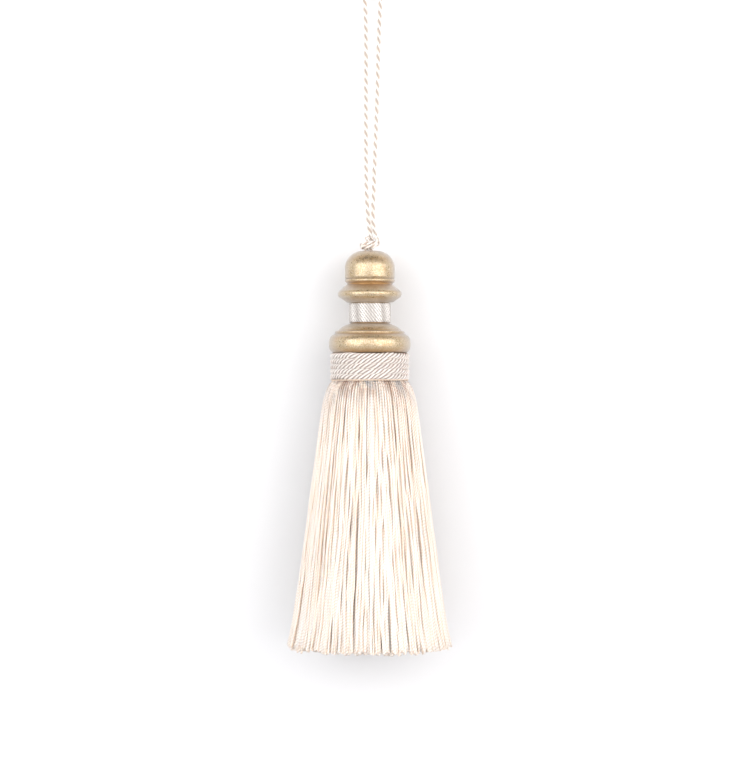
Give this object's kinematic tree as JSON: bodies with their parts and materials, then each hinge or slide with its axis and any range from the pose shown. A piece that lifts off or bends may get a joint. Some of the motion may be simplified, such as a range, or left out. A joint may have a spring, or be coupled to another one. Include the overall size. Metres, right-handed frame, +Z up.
{
  "type": "hanging key tassel",
  "caption": "Hanging key tassel: gilded turned wooden head on a knotted loop of twisted cord, twisted cord collar and a flared skirt of cut threads.",
  "frame": {"origin": "inside of the hanging loop's crown, where a hook or knob bears", "axes": "+Z up along the head's turned axis, +Y to the back, +X to the right seen from the front"},
  "size_m": [0.065, 0.065, 0.2782],
  "materials": {
    "loop_thread": "ivory rayon, two plies twisted into a cord",
    "gilded_wood": "turned wood under satin gold paint, slightly grainy",
    "satin_thread": "white satin thread laid side by side",
    "collar_thread": "ivory and pale pink twisted cord",
    "skirt_thread": "ivory twisted rayon thread, cut ends"
  },
  "bodies": {
    "root": {"hanging_loop": "loop_thread", "knot": "loop_thread", "head_turning": "gilded_wood", "neck_wrap": "satin_thread", "collar_cord": "collar_thread", "skirt": "skirt_thread"}
  },
  "joints": []
}
